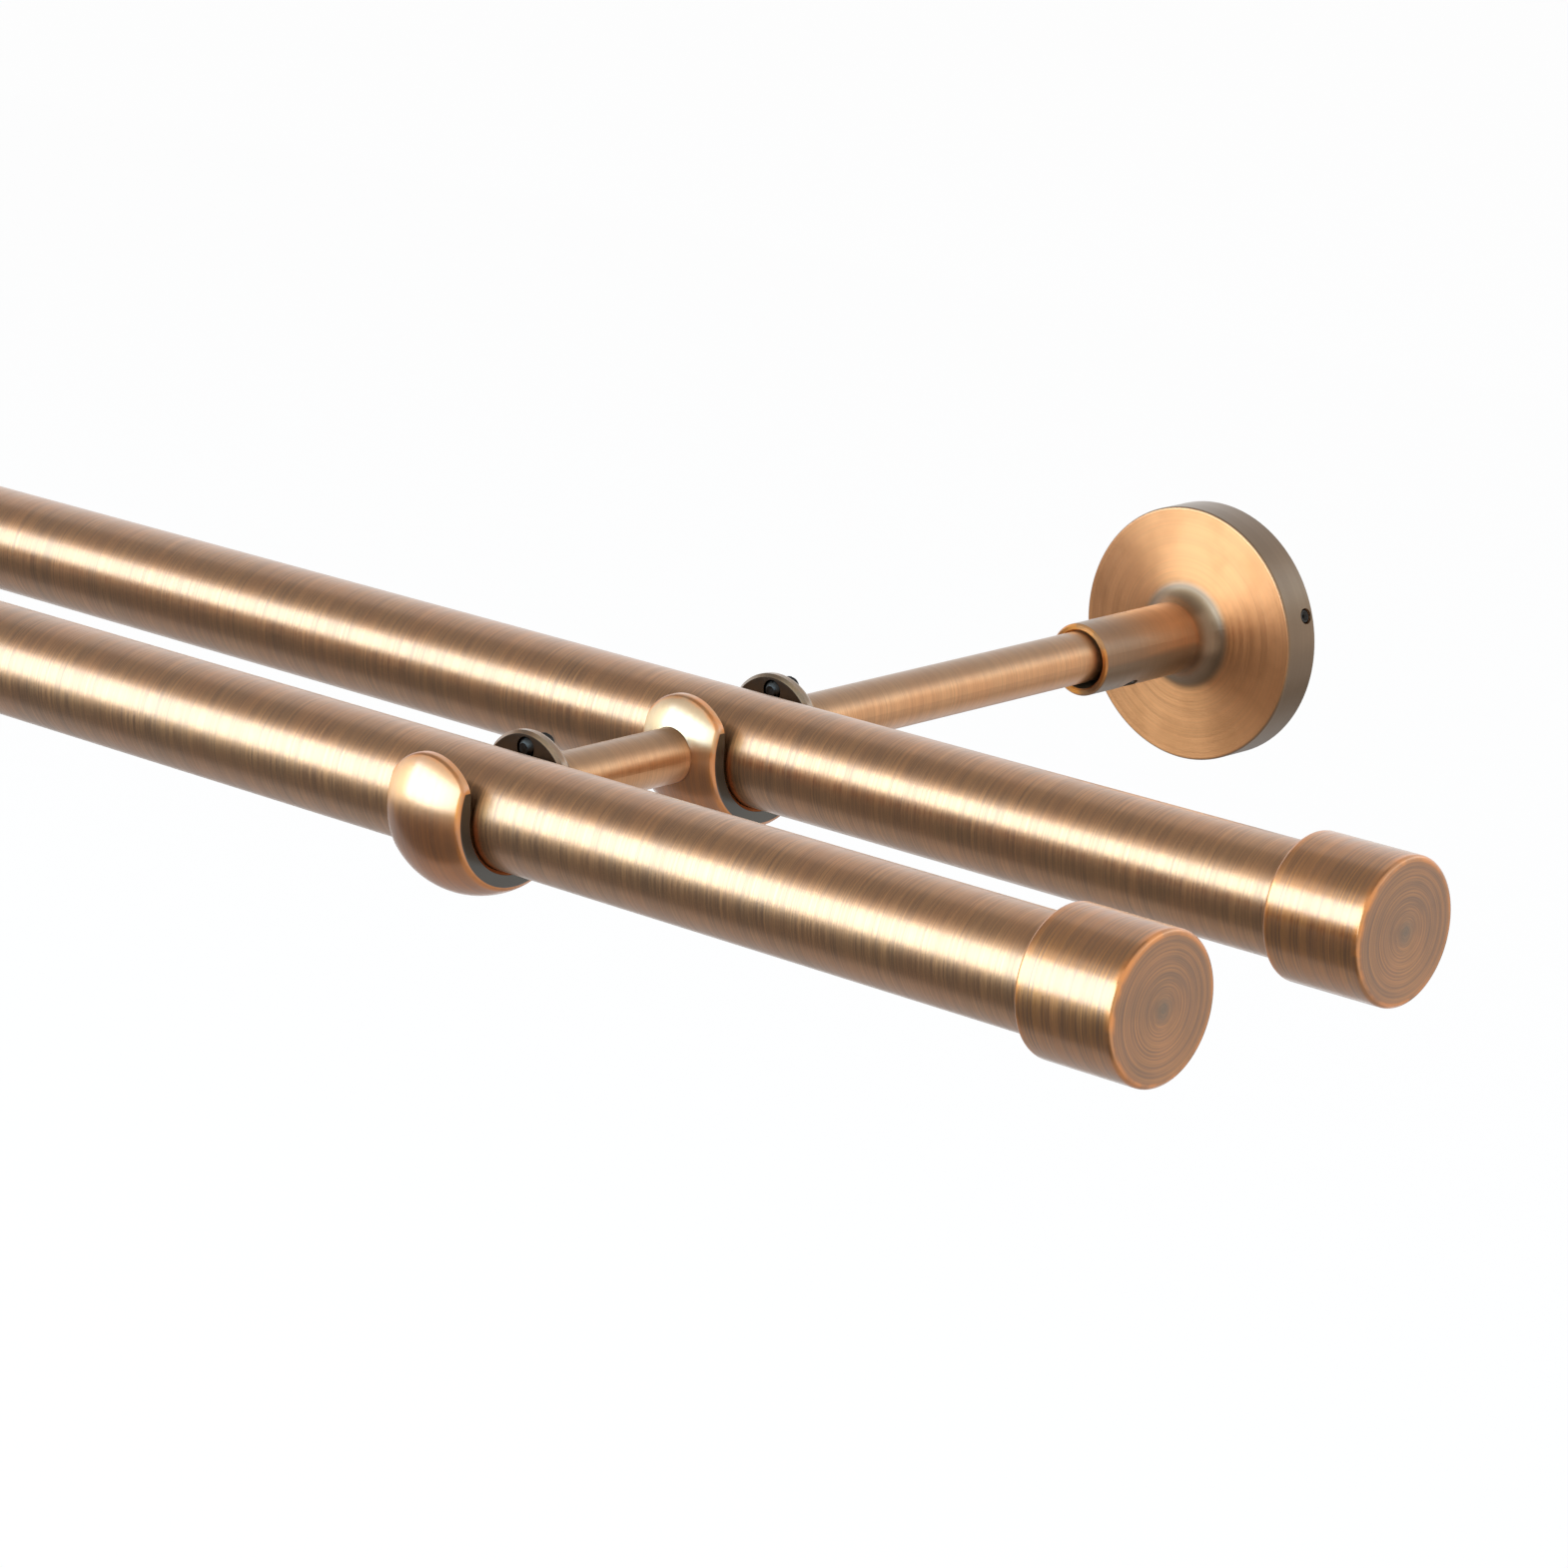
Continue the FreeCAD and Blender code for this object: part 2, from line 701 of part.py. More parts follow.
def make_pole_clamp_screws():
    screws = []
    for side, x in SIDES.items():
        for row, reach in ROWS.items():
            screw = make_grub_screw(f"{side}_{row}_clamp_screw", "clamp", size("clamp_length"))
            tip = slot_r - size("clamp_proud")
            screws.append(place(screw, x + arm_shift, tip - reach, arm_z + size("clamp_height")))
    return group("pole_clamp_screws", screws)


def make_hub_grub_screws():
    """Each screw presses the arm against the far side of the hub's bore."""
    tip = arm_r - arm_lift + size("seat_gap")
    length = hub_r - size("grub_recess") - tip
    turn = size("hub_screw_turn")
    screws = []
    for side, x in SIDES.items():
        screw = make_grub_screw(f"{side}_hub_screw", "clamp", length)
        y = size("hub_screw_inset") - size("hub_reach")
        spot = (x + tip * sine(turn), y, -(tip * cosine(turn)))
        screws.append(place(screw, *spot, turn=f"{HUB_SCREW_TURN} * {DOWN}"))
    return group("hub_grub_screws", screws)


def make_rose_rim_screws():
    """Each screw's cone bears in the V groove of the wall plate."""
    tip = plate_r - size("plate_groove") + size("grub_tip_dia") / 2 + size("seat_gap") * 2
    length = rose_r - size("grub_recess") - tip
    turn = size("rose_turn")
    screws = []
    for side, x in SIDES.items():
        screw = make_grub_screw(f"{side}_rim_screw", "grub", length)
        spot = (x + tip * cosine(turn), -size("rim_screw_inset"), tip * sine(turn))
        screws.append(place(screw, *spot, turn=f"{ROSE_TURN} * {TO_RIGHT}"))
    return group("rose_rim_screws", screws)


def make_cap_grub_screws():
    tip = pole_r + size("seat_gap")
    length = cap_r - size("grub_recess") - tip
    screws = []
    for row, reach in ROWS.items():
        for side, way in WAYS.items():
            screw = make_grub_screw(f"{row}_{side}_cap_screw", "grub", length)
            x = (size("pole_length") / 2 - cap_engage / 2) * way
            screws.append(place(screw, x, -reach, pole_z - tip, turn=DOWN))
    return group("cap_grub_screws", screws)


def make_cup_fixing_screws():
    screws = []
    for side, x in SIDES.items():
        for name, reach, way, turn in (
            ("front_back", size("front_reach"), 1, UNTURNED),
            ("rear_back", rear_reach, 1, UNTURNED),
            ("rear_front", rear_reach, -1, BACKWARDS),
        ):
            screw = make_fixing_screw(f"{side}_{name}_fixing_screw")
            screws.append(place(screw, x + arm_shift, fix_head_place * way - reach, arm_z, turn=turn))
    return group("cup_fixing_screws", screws)


def make_bracket(side, x):
    """One wall bracket: plate, rose, two arms and two cups."""
    arm_x = x + arm_shift
    rear_length = rear_reach - size("hub_reach") + size("arm_insert") - arm_start
    front_length = size("pole_spacing") - arm_start * 2
    return [
        make_wall_plate(f"{side}_wall_plate", x),
        make_rose(f"{side}_rose", x),
        make_arm(f"{side}_rear_arm", arm_x, rear_reach, rear_length, False),
        make_cup(f"{side}_rear_cup", arm_x, rear_reach, {"back_seat": 1, "front_seat": -1}),
        make_arm(f"{side}_front_arm", arm_x, size("front_reach"), front_length, True),
        make_cup(f"{side}_front_cup", arm_x, size("front_reach"), {"back_seat": 1}),
    ]


def make_poles():
    pieces = []
    for row, reach in ROWS.items():
        pieces.append(make_pole(f"{row}_pole", reach))
        for side, way in WAYS.items():
            end_x = size("pole_length") / 2 * way
            pieces.append(make_cap(f"{row}_{side}_cap", end_x, reach, CAP_TURNS[side]))
    return pieces


def check_document():
    for item in doc.Objects:
        if "Invalid" in item.State or "Error" in item.State:
            raise RuntimeError(f"{item.Label} failed: {item.State}")


def write_parts(pieces):
    os.makedirs("parts", exist_ok=True)
    for piece in pieces:
        if piece.Shape.isNull() or not piece.Shape.isValid():
            raise RuntimeError(f"{piece.Label} has no valid shape")
    for piece in pieces:
        piece.Shape.exportStep(f"parts/{piece.Label}.step")


pieces = make_poles()
for side, x in SIDES.items():
    pieces += make_bracket(side, x)
pieces += [
    make_pole_clamp_screws(),
    make_hub_grub_screws(),
    make_rose_rim_screws(),
    make_cap_grub_screws(),
    make_cup_fixing_screws(),
]
doc.recompute()
check_document()
write_parts(pieces)
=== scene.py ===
"""Double curtain pole in antique copper: finishes, threaded screws and studio."""

import math
from typing import NamedTuple

import bmesh
import bpy
from mathutils import Matrix, Vector


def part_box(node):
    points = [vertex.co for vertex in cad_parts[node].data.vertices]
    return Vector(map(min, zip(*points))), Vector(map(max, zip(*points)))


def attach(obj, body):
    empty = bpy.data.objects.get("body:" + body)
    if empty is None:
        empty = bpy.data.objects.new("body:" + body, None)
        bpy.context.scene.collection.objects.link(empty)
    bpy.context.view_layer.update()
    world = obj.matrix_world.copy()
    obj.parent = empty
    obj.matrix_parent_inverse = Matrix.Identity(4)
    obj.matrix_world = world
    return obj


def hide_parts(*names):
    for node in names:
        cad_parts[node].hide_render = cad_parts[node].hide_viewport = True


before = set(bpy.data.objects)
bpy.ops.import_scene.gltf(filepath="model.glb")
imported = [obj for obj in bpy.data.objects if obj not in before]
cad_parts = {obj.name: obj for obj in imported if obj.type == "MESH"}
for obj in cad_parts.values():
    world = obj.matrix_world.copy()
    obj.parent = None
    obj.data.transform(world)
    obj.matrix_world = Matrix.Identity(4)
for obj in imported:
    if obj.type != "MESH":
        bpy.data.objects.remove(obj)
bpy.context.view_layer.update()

bl_info = {
    "name": "Double Curtain Pole",
    "version": (1, 0, 0),
    "blender": (4, 5, 0),
    "location": "View3D > Sidebar > Curtain Pole",
    "description": "Finishes, screws and studio of a double curtain pole in antique copper",
    "category": "Object",
}

MM = 0.001
SIDES = ("left", "right")
ROWS = ("front", "rear")
FULL_TURN = math.tau


# Places and sizes read from the parts of model.glb


def middle(node):
    low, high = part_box(node)
    return (low + high) / 2


def extent(node):
    low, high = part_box(node)
    return high - low


FRONT_CAP_FACE = middle("front_right_cap") + Vector((extent("front_right_cap").x / 2, 0, 0))
BRACKET = middle("right_rear_cup")
POLE_RADIUS = extent("front_pole").z / 2
CAP_RADIUS = extent("front_right_cap").z / 2
CAP_HALF = extent("front_right_cap").x / 2
ARM_RADIUS = extent("right_rear_arm").z / 2
CUP_HALF = extent("right_front_cup").x / 2
ARM_HEIGHT = middle("right_rear_arm").z
LIP_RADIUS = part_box("right_front_cup")[1].z - ARM_HEIGHT
ROSE_RADIUS = extent("right_rose").z / 2
HUB_REACH = extent("right_rose").y


# Settings that a user would change


def colour(name, description, default):
    return bpy.props.FloatVectorProperty(
        name=name, description=description, default=default, subtype="COLOR", min=0, max=1
    )


def length(name, description, default):
    return bpy.props.FloatProperty(
        name=name, description=description, default=default, unit="LENGTH", precision=5
    )


def angle(name, description, degrees):
    return bpy.props.FloatProperty(
        name=name, description=description, default=math.radians(degrees), subtype="ANGLE"
    )


def share(name, description, default):
    return bpy.props.FloatProperty(
        name=name, description=description, default=default, min=0, max=1, subtype="FACTOR"
    )


class CopperSettings(bpy.types.PropertyGroup):
    """Colours and brush marks of the copper plate."""

    pole_colour: colour("Pole", "Copper of the poles", (0.56, 0.265, 0.095))
    cap_colour: colour("Cap", "Copper of the end caps", (0.60, 0.25, 0.062))
    cup_colour: colour("Cup", "Copper of the cups", (0.60, 0.21, 0.045))
    # Painted highlight: paler copper painted over the upper part of the cups, where the lamp's highlight
    # falls
    front_painted_highlight_colour: colour("Front crown", "Paler top of the front cups", (0.62, 0.31, 0.12))
    rear_painted_highlight_colour: colour("Rear crown", "Paler top of the rear cups", (0.58, 0.39, 0.2))
    arm_colour: colour("Arm", "Copper of the arms", (0.71, 0.36, 0.155))
    rose_colour: colour("Rose", "Copper of the wall roses", (0.88, 0.38, 0.145))
    patina_colour: colour("Patina", "Brown left in the brush marks", (0.17, 0.088, 0.043))
    # Olive patina, also painted as shade under the rose's hub and in its fillet
    olive_patina_and_shade_colour: colour("Olive patina", "Grey olive where it was not brushed", (0.15, 0.11, 0.065))
    # Painted shade: dark colour painted on the cups' flat sides and in their slots, where the pole shades
    # them
    painted_shade_colour: colour("Slot", "Dark plate on the cups' flats and slots", (0.055, 0.047, 0.032))
    worn_colour: colour("Worn edge", "Bare copper along worn edges", (0.74, 0.26, 0.045))
    cloud_colour: colour("Cloud", "Redder copper in the plate's clouds", (0.62, 0.25, 0.085))
    cloud_width: length("Cloud width", "Size of the plate's clouds", 9.0 * MM)
    line_width: length("Brush line", "Width of a visible brush line", 0.35 * MM)
    line_depth: length("Brush depth", "Relief of the brush lines", 0.002 * MM)
    ring_width: length("Ring", "Width of a turned ring on the caps' ends", 0.3 * MM)
    wear_width: length("Edge wear", "How far wear reaches from an edge", 0.7 * MM)
    slot_play: length("Slot play", "Cup's slot radius over the pole's radius", 0.45 * MM)
    hub_radius: length("Hub radius", "Outside of the rose's hub", 7.0 * MM)
    hub_fillet: length("Hub fillet", "Hollow fillet between the rose's hub and face", 4.0 * MM)
    rose_depth: length("Rose depth", "Wall to the edge of the rose's face", 8.0 * MM)
    brushed: share("Brushed", "Mean roughness of poles, caps, cups and arms", 0.40)
    satin: share("Satin", "Mean roughness of the roses", 0.42)
    stretch: share("Stretch", "How far highlights stretch across the brush lines", 0.6)
    cup_stretch: share("Cup stretch", "How far highlights stretch over the cups' balls", 0.85)
    fan: share("Fan", "How far highlights stretch across the roses' rings", 0.76)


class ScrewSettings(bpy.types.PropertyGroup):
    """Thread and socket of the grub screws, and plating of the steel pieces."""

    pitch: share("Pitch", "Distance between thread crests, as a share of the diameter", 0.17)
    depth: share("Thread depth", "Crest to root, as a share of the diameter", 0.09)
    point: share("Point", "Flat point, as a share of the diameter", 0.5)
    key: share("Key", "Socket across its flats, as a share of the diameter", 0.5)
    key_depth: share("Key depth", "Depth of the socket, as a share of the diameter", 0.3)
    steel_colour: colour("Black steel", "Black oxide of the screws", (0.022, 0.021, 0.020))
    spot_colour: colour("Steel spot", "Paler spots in the black oxide", (0.06, 0.057, 0.052))
    spot_width: length("Spot width", "Size of the spots in the black oxide", 0.6 * MM)
    zinc_colour: colour("Zinc", "Plating of the wall plates", (0.60, 0.60, 0.58))
    zinc_shade: colour("Zinc shade", "Darker turned lines in the plating", (0.42, 0.42, 0.41))
    zinc_line: length("Zinc line", "Width of a turned line on the wall plates", 0.4 * MM)


class StudioSettings(bpy.types.PropertyGroup):
    """Camera, lamps and backdrop."""

    azimuth: angle("Azimuth", "Camera's direction round the object", 41.9)
    elevation: angle("Elevation", "Camera's direction above the horizon", 15.47)
    roll: angle("Roll", "Camera's turn about its own axis", 2.47)
    lens: bpy.props.FloatProperty(
        name="Lens", description="Focal length on a 36 mm sensor", default=124.86, unit="CAMERA"
    )
    camera_offset: bpy.props.FloatVectorProperty(
        name="Camera place",
        description="From the middle of the front right cap's end to the camera",
        default=(0.48235, -0.62612, 0.25114),
        subtype="TRANSLATION",
    )
    floor_drop: length("Floor", "Pole axis to the floor", 0.55)
    white: share("White", "Brightness of floor and backdrop", 1.0)
    lamp_colour: colour("Lamps", "Cool light of the lamps", (0.56, 0.79, 1.0))


# How each kind of copper piece is brushed and lacquered


class Coat(NamedTuple):
    """Brush lines, clouds and lacquer of one kind of copper piece."""

    contrast: float  # how much patina the brush lines hold
    clouds: float  # how red the clouds are
    spread: float  # how far roughness swings about its mean
    lacquer_index: float  # index of refraction of the clear lacquer
    lacquer_roughness: float


POLE_COAT = Coat(contrast=0.6, clouds=0.2, spread=0.07, lacquer_index=1.65, lacquer_roughness=0.28)
CAP_COAT = Coat(contrast=0.72, clouds=0.25, spread=0.07, lacquer_index=1.75, lacquer_roughness=0.22)
CUP_COAT = Coat(contrast=0.4, clouds=0.3, spread=0.05, lacquer_index=1.75, lacquer_roughness=0.22)
ARM_COAT = Coat(contrast=0.3, clouds=0.25, spread=0.05, lacquer_index=1.4, lacquer_roughness=0.3)
ROSE_COAT = Coat(contrast=0.17, clouds=0.45, spread=0.05, lacquer_index=1.35, lacquer_roughness=0.3)


class Mark(NamedTuple):
    """One kind of line that runs round a turned piece."""

    width: float  # in units that are given with it
    arc: float  # about how far it runs, in radians
    detail: float = 2.0  # of its noise


FINE_MARK = Mark(width=1 / 3, arc=1.4)
LINE_MARK = Mark(width=1, arc=1.8, detail=3.0)
BAND_MARK = Mark(width=8, arc=2.0)
STREAK_MARK = Mark(width=1.5, arc=3.0, detail=3.0)
RING_MARK = Mark(width=1, arc=3.0, detail=3.0)
ZINC_MARK = Mark(width=1, arc=0.6, detail=3.0)

# Share of the fine lines in the grain, and of the bands in the tone
FINE_SHARE = 0.5
BAND_SHARE = 0.2

# Values of a noise between which a mark goes from one of its ends to the other
LINE_RANGE = (0.36, 0.64)
STREAK_RANGE = (0.34, 0.66)
RING_RANGE = (0.38, 0.62)
CLOUD_RANGE = (0.4, 0.65)
RAGGED_RANGE = (0.25, 0.6)
PATCH_RANGE = (0.35, 0.6)
PLATING_RANGE = (0.3, 0.7)

# Detail of the noise in patches, clouds, floor and spots
PATCH_DETAIL = 2.0
CLOUD_DETAIL = 3.0
FLOOR_DETAIL = 3.0
SPOT_DETAIL = 4.0

# Depths under a face at which its own colour, or on the cups' flats and slot a painted shade, starts and
# is full, less than 0 beyond a bore's wall
CAP_END_SKIN = (0.1 * MM, 0.0)
CUP_FLAT_SKIN = (0.06 * MM, 0.01 * MM)
CUP_SLOT_SKIN = (-0.12 * MM, -0.04 * MM)
ROSE_RIM_SKIN = (0.5 * MM, 0.05 * MM)

# The same for bare copper along an edge, in widths of the wear
CAP_END_WEAR = (2.4, 1.0)
CAP_RIM_WEAR = (2.0, 1.0)
CUP_FLAT_WEAR = (1.2, 0.7)
CUP_SLOT_WEAR = (-1.0, -3.0)
CUP_CREST_WEAR = (1.4, 0.4)
HUB_MOUTH_WEAR = (0.6, 0.3)

# Size of a patch of wear, in widths of the wear, and what is worn between patches and lines
PATCH_WIDTH = 5
WEAR_BETWEEN_PATCHES = 0.3
WEAR_BETWEEN_LINES = 0.6

# Shares of a piece's size at which a zone starts and is full
CAP_CENTRE_ZONE = (0.25, 0.0)
# Zone of the painted highlight on the cups' upper part
PAINTED_HIGHLIGHT_ZONE = (-0.2, 0.4)
CREST_ZONE = (0.3, 0.5)
BACK_ZONE = (-0.5, 0.5)
ARM_TOP_ZONE = (0.35, 0.75)
HUB_MOUTH_ZONE = (0.5, 0.8)
# Zone of the painted shade under the rose's hub
HUB_SHADE_ZONE = (0.5, -0.1)

# Depths at which the rose's hub, its foot and its hollow start and are full, in fillet radii
HUB_DEPTHS = (-0.3, -0.02)
FOOT_DEPTHS = (-1.0, 0.0)
HOLLOW_DEPTHS = (-0.1, 0.4)

# How much patina, painted shade or painted highlight lies in each zone, from 0 to 1
RING_PATINA = (0.5, 0.15)
CAP_CENTRE_PATINA = 0.7
# Strength of the painted highlight on the cups' upper part
PAINTED_HIGHLIGHT_SHARE = 0.85
BACK_PATINA = 0.85
ARM_TOP_PATINA = 0.5
HUB_PATINA = (0.6, 0.8)
# Strength of the painted shade under the rose's hub
HUB_PAINTED_SHADE = 0.9
# Strength of the patina and painted shade in the rose's fillet
HOLLOW_PATINA_AND_SHADE = 0.85
ROSE_RIM_PATINA = 0.9

# Roughness of the smoothest and the roughest plating
ZINC_ROUGHNESS = (0.3, 0.45)
BLACK_ROUGHNESS = (0.28, 0.46)

# Turn of the stretched highlights, as a share of a full turn
QUARTER = 0.25


# Node helpers

# Places of the Mix node's sockets for colours
MIX_AMOUNT = 0
MIX_FIRST = 6
MIX_SECOND = 7
MIX_RESULT = 2


def opaque(rgb):
    return (*rgb, 1.0)


class Finish:
    """One material, with short calls that add a node and return its output."""

    def __init__(self, name):
        self.material = bpy.data.materials.new(name)
        self.material.use_nodes = True
        self.tree = self.material.node_tree
        self.surface = self.tree.nodes["Principled BSDF"]
        self.output = self.tree.nodes["Material Output"]

    def node(self, kind, **settings):
        made = self.tree.nodes.new(f"ShaderNode{kind}")
        for setting, value in settings.items():
            setattr(made, setting, value)
        return made

    def feed(self, socket, value):
        if isinstance(value, bpy.types.NodeSocket):
            self.tree.links.new(value, socket)
        else:
            socket.default_value = value

    def set(self, socket, value):
        self.feed(self.surface.inputs[socket], value)

    def filled(self, kind, values, **settings):
        """The first output of a node whose sockets are filled in order."""
        made = self.node(kind, **settings)
        for socket, value in zip(made.inputs, values):
            self.feed(socket, value)
        return made.outputs[0]

    def math(self, operation, *values):
        return self.filled("Math", values, operation=operation)

    def offset(self, vector, origin):
        return self.filled("VectorMath", (vector, tuple(origin)), operation="SUBTRACT")

    def join(self, *parts):
        return self.filled("CombineXYZ", parts)

    def split(self, vector):
        made = self.node("SeparateXYZ")
        self.feed(made.inputs[0], vector)
        return list(made.outputs)

    def place(self):
        return self.node("TexCoord").outputs["Object"]

    def noise(self, vector, detail, scale=1.0):
        made = self.node("TexNoise")
        made.inputs["Scale"].default_value = scale
        made.inputs["Detail"].default_value = detail
        self.feed(made.inputs["Vector"], vector)
        return made.outputs[0]

    def between(self, value, start, end, first=0.0, last=1.0):
        """A smooth step of a value: one amount at its start, another at its end."""
        numbers = (value, start, end, first, last)
        return self.filled("MapRange", numbers, interpolation_type="SMOOTHSTEP")

    def near(self, value, edge, depths, unit=1.0, **amounts):
        """A smooth step towards an edge, between two depths under it."""
        start, end = (edge - depth * unit for depth in depths)
        return self.between(value, start, end, **amounts)

    def within(self, value, size, zone, **amounts):
        """A smooth step between two shares of a size."""
        start, end = (size * part for part in zone)
        return self.between(value, start, end, **amounts)

    def blend(self, amount, first, second):
        made = self.node("Mix", data_type="RGBA")
        self.feed(made.inputs[MIX_AMOUNT], amount)
        self.feed(made.inputs[MIX_FIRST], first)
        self.feed(made.inputs[MIX_SECOND], second)
        return made.outputs[MIX_RESULT]

    def product(self, first, *others):
        for other in others:
            first = self.math("MULTIPLY", first, other)
        return first

    def largest(self, first, *others):
        for other in others:
            first = self.math("MAXIMUM", first, other)
        return first

    def rest(self, amount):
        """What an amount leaves of one."""
        return self.math("SUBTRACT", 1.0, amount)

    def average(self, first, second, weight):
        """Two values, of which the first has this share."""
        return self.math("MULTIPLY_ADD", first, weight, self.math("MULTIPLY", second, 1 - weight))

    def distance(self, first, second):
        """Length of the hypotenuse over two sides."""
        squares = self.math("MULTIPLY_ADD", first, first, self.math("MULTIPLY", second, second))
        return self.math("SQRT", squares)


class Turning:
    """Places on a turned piece: along its axis, to the side, up, out from it, and round it."""

    def __init__(self, finish, centre, axis):
        self.finish = finish
        x, y, z = finish.split(finish.offset(finish.place(), centre))
        self.along, self.side, self.height = (x, y, z) if axis == "X" else (y, x, z)
        self.out = finish.distance(self.side, self.height)
        self.round = [finish.math("DIVIDE", part, self.out) for part in (self.side, self.height)]

    def lines(self, mark, unit):
        """Noise drawn out into lines round the axis."""
        finish = self.finish
        across = finish.math("DIVIDE", finish.math("ADD", self.along, self.out), mark.width * unit)
        around = [finish.math("DIVIDE", part, mark.arc) for part in self.round]
        return finish.noise(finish.join(across, *around), mark.detail)


class Plate(Finish):
    """Copper plate on one turned piece: brushed and clouded, then painted over, then lacquered."""

    def __init__(self, node, copper, coat, base, centre, axis):
        super().__init__(f"{node}_copper")
        self.copper = copper
        self.coat = coat
        self.axis = axis
        self.turning = Turning(self, centre, axis)
        self.brush(base)
        self.mottle()

    def brush(self, base):
        """Brush lines round the axis, with patina between them."""
        width = self.copper.line_width
        fine = self.turning.lines(FINE_MARK, width)
        lines = self.turning.lines(LINE_MARK, width)
        bands = self.turning.lines(BAND_MARK, width)
        self.grain = self.average(fine, lines, FINE_SHARE)
        tone = self.average(bands, self.grain, BAND_SHARE)
        dark = self.between(tone, *LINE_RANGE, first=self.coat.contrast, last=0.0)
        self.tint = self.blend(dark, opaque(base), opaque(self.copper.patina_colour))

    def paint(self, amount, rgb):
        """Another colour over the tint."""
        self.tint = self.blend(amount, self.tint, opaque(rgb))

    def mottle(self):
        """Redder clouds in the plate."""
        clouds = self.noise(self.place(), CLOUD_DETAIL, 1 / self.copper.cloud_width)
        self.paint(self.between(clouds, *CLOUD_RANGE, last=self.coat.clouds), self.copper.cloud_colour)

    def wear_off(self, amount):
        """Bare copper over the tint, in patches with a ragged border along the brush lines."""
        patches = self.noise(self.place(), PATCH_DETAIL, 1 / (self.copper.wear_width * PATCH_WIDTH))
        patchy = self.between(patches, *PATCH_RANGE, first=WEAR_BETWEEN_PATCHES)
        ragged = self.between(self.grain, *RAGGED_RANGE, first=WEAR_BETWEEN_LINES)
        self.paint(self.product(amount, ragged, patchy), self.copper.worn_colour)

    def roughen(self, roughness):
        """Highlights that are wider in some lines, and a fine relief."""
        streaks = self.turning.lines(STREAK_MARK, self.copper.line_width)
        smooth, rough = roughness - self.coat.spread, roughness + self.coat.spread
        self.set("Roughness", self.between(streaks, *STREAK_RANGE, first=smooth, last=rough))
        relief = self.node("Bump")
        relief.inputs["Strength"].default_value = 1.0
        relief.inputs["Distance"].default_value = self.copper.line_depth
        self.feed(relief.inputs["Height"], self.grain)
        self.set("Normal", relief.outputs[0])

    def lacquer(self):
        """Clear lacquer over the plate."""
        self.set("Coat Weight", 1.0)
        self.set("Coat IOR", self.coat.lacquer_index)
        self.set("Coat Roughness", self.coat.lacquer_roughness)

    def stretch(self, amount):
        """Highlights stretch across the brush lines, which run round the axis."""
        tangent = self.node("Tangent", direction_type="RADIAL", axis=self.axis)
        self.set("Tangent", tangent.outputs[0])
        self.set("Anisotropic", amount)
        self.set("Anisotropic Rotation", QUARTER)

    def close(self, roughness, stretch):
        """The finished material, of a mean roughness and with highlights stretched this far."""
        self.set("Base Color", self.tint)
        self.set("Metallic", 1.0)
        self.roughen(roughness)
        self.lacquer()
        self.stretch(stretch)
        return self.material


def dress(node, material):
    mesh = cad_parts[node].data
    mesh.materials.clear()
    mesh.materials.append(material)


# Finishes of the copper pieces


def pole_finish(node, copper):
    plate = Plate(node, copper, POLE_COAT, copper.pole_colour, middle(node), "X")
    return plate.close(copper.brushed, copper.stretch)


def cap_finish(node, copper):
    """Brushed side, darker end face with rings, and bare copper along both rims."""
    plate = Plate(node, copper, CAP_COAT, copper.cap_colour, middle(node), "X")
    turning = plate.turning
    reach = plate.math("ABSOLUTE", turning.along)
    on_end = plate.near(reach, CAP_HALF, CAP_END_SKIN)
    rings = turning.lines(RING_MARK, copper.ring_width)
    in_rings = plate.between(rings, *RING_RANGE, *RING_PATINA)
    plate.paint(plate.product(on_end, in_rings), copper.patina_colour)
    centre = plate.within(turning.out, CAP_RADIUS, CAP_CENTRE_ZONE, last=CAP_CENTRE_PATINA)
    plate.paint(plate.product(on_end, centre), copper.olive_patina_and_shade_colour)
    near_end = plate.near(reach, CAP_HALF, CAP_END_WEAR, copper.wear_width)
    near_rim = plate.near(turning.out, CAP_RADIUS, CAP_RIM_WEAR, copper.wear_width)
    plate.wear_off(plate.product(near_end, near_rim))
    return plate.close(copper.brushed, copper.stretch)


def cup_painted_shade(plate, reach, slot):
    """Where shade is painted: the cup's flat sides, and the slot that the pole lies in."""
    on_flat = plate.near(reach, CUP_HALF, CUP_FLAT_SKIN)
    below = plate.math("MINIMUM", plate.turning.height, 0.0)
    wall = plate.distance(plate.turning.side, below)
    in_slot = plate.near(wall, slot, CUP_SLOT_SKIN)
    return plate.largest(on_flat, in_slot)


def cup_edge(plate, reach, slot):
    """The ball's edges along its flat sides, clear of the slot."""
    wear = plate.copper.wear_width
    at_edge = plate.near(reach, CUP_HALF, CUP_FLAT_WEAR, wear)
    outside = plate.near(plate.turning.out, slot, CUP_SLOT_WEAR, wear)
    return plate.product(at_edge, outside)


def cup_crest(plate):
    """The round tops of the cup's lips."""
    turning = plate.turning
    arch = plate.distance(turning.along, turning.height)
    at_crest = plate.near(arch, LIP_RADIUS, CUP_CREST_WEAR, plate.copper.wear_width)
    above = plate.within(turning.height, LIP_RADIUS, CREST_ZONE)
    return plate.product(at_crest, above)


